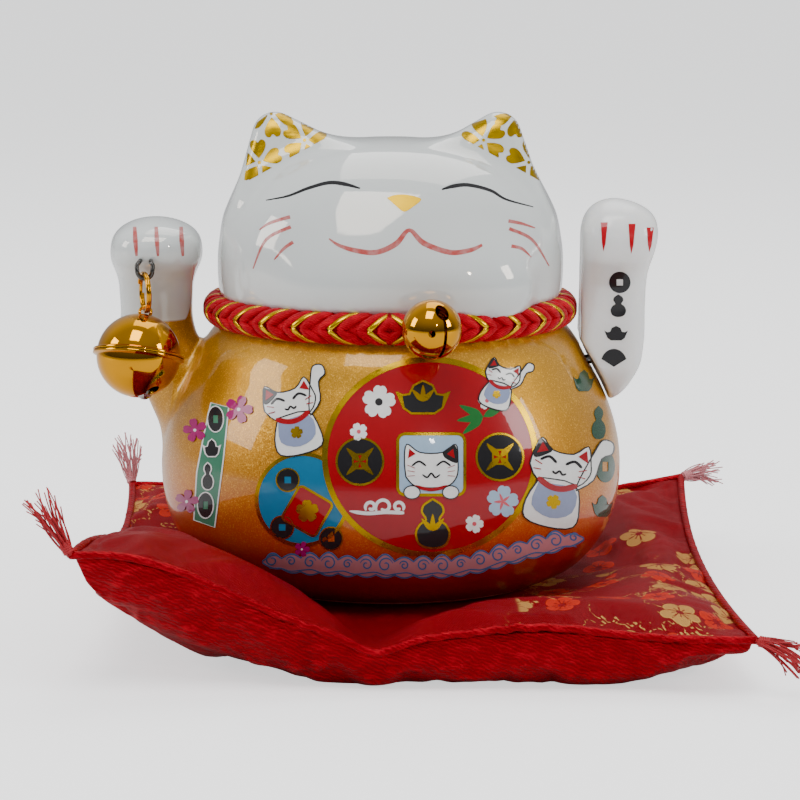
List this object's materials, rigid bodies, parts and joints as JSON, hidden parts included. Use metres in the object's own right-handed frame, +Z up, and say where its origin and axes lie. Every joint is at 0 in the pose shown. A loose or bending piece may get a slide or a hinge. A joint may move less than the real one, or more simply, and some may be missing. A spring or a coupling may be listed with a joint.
{
  "type": "beckoning cat figurine",
  "caption": "Glazed ceramic beckoning cat with a battery driven waving arm, braided collar, jingle bells and a square brocade cushion.",
  "frame": {"origin": "point on the cushion's flat underside, straight below the cat's own vertical axis", "axes": "+Z up, the cat looks along -Y, +X towards the waving arm (the cat's left)"},
  "size_m": [0.1924, 0.1876, 0.1368],
  "materials": {
    "glaze": "clear glaze over gold glitter that fades to red, white glaze on the head",
    "cord": "braided silk cord with gold foil strands",
    "cord_sleeve": "wrapped thread",
    "gold_plate": "polished gold plate",
    "steel": "smooth wire and sheet",
    "milk_plastic": "milky translucent moulding",
    "white_plastic": "satin moulding",
    "black_plastic": "satin moulding",
    "board": "solder mask",
    "copper": "enamelled wire",
    "bronze": "sintered",
    "cell_wrap": "shrink wrap",
    "magnet": "nickel plated",
    "brocade": "red woven brocade with gold blossoms",
    "satin": "red satin",
    "wadding": "loose polyester wadding",
    "thread": "silk threads"
  },
  "bodies": {
    "cushion": {"cushion_filling": "wadding", "cushion_top_cover": "brocade", "cushion_bottom_cover": "satin", "tassel_front_left": "thread", "tassel_front_right": "thread", "tassel_rear_left": "thread", "tassel_rear_right": "thread"},
    "figurine": {"ceramic_body": "glaze", "collar_cord": "cord", "collar_sleeve": "cord_sleeve", "paw_eyelet": "steel", "movement_base": "white_plastic", "battery_cell": "cell_wrap", "battery_contact_plate": "steel", "battery_contact_spring": "steel", "circuit_board": "board", "coil_bobbin": "white_plastic", "drive_coil": "copper", "switch_housing": "steel", "shaft_bearing_inner": "bronze", "shaft_bearing_outer": "bronze", "board_screw_1": "steel", "board_screw_2": "steel"},
    "waving_arm": {"swing_shaft": "steel", "pendulum_lever": "white_plastic", "pendulum_magnet": "magnet", "counterweight": "steel", "arm_front_shell": "milk_plastic", "arm_rear_shell": "milk_plastic"},
    "neck_bell": {"neck_bell_shell": "gold_plate", "neck_bell_loop": "steel"},
    "neck_pellet": {"neck_bell_pellet": "steel"},
    "split_ring": {"split_ring": "gold_plate"},
    "paw_bell": {"paw_bell_upper_shell": "gold_plate", "paw_bell_lower_shell": "gold_plate", "paw_bell_loop": "gold_plate"},
    "paw_pellet": {"paw_bell_pellet": "steel"},
    "battery_cover": {"battery_cover": "white_plastic"},
    "switch_knob": {"switch_knob": "black_plastic"}
  },
  "joints": [
    {"name": "figurine_lift", "type": "slide", "parent": "cushion", "child": "figurine", "axis": [0, 0, 1], "range_m": [0, 0.08]},
    {"name": "arm_wave", "type": "hinge", "parent": "figurine", "child": "waving_arm", "pos_m": [0.054, 0, 0.07], "axis": [1, 0, 0], "range_deg": [-20, 20]},
    {"name": "neck_bell_swing", "type": "hinge", "parent": "figurine", "child": "neck_bell", "pos_m": [0.0101, -0.04193, 0.086], "axis": [1, 0, 0], "range_deg": [-20, 8]},
    {"name": "neck_pellet_rattle", "type": "slide", "parent": "neck_bell", "child": "neck_pellet", "axis": [0, 0, 1], "range_m": [0, 0.008]},
    {"name": "split_ring_swing", "type": "hinge", "parent": "figurine", "child": "split_ring", "pos_m": [-0.0658, -0.02, 0.09495], "axis": [1, 0, 0], "range_deg": [-35, 3]},
    {"name": "paw_bell_swing", "type": "hinge", "parent": "split_ring", "child": "paw_bell", "pos_m": [-0.0658, -0.02, 0.08615], "axis": [0, 1, 0], "range_deg": [-8, 40]},
    {"name": "paw_pellet_rattle", "type": "slide", "parent": "paw_bell", "child": "paw_pellet", "axis": [0, 0.309, 0.9511], "range_m": [0, 0.012]},
    {"name": "battery_cover_slide", "type": "slide", "parent": "figurine", "child": "battery_cover", "axis": [1, 0, 0], "range_m": [0, 0.005]},
    {"name": "switch_slide", "type": "slide", "parent": "figurine", "child": "switch_knob", "axis": [1, 0, 0], "range_m": [0, 0.003]}
  ]
}
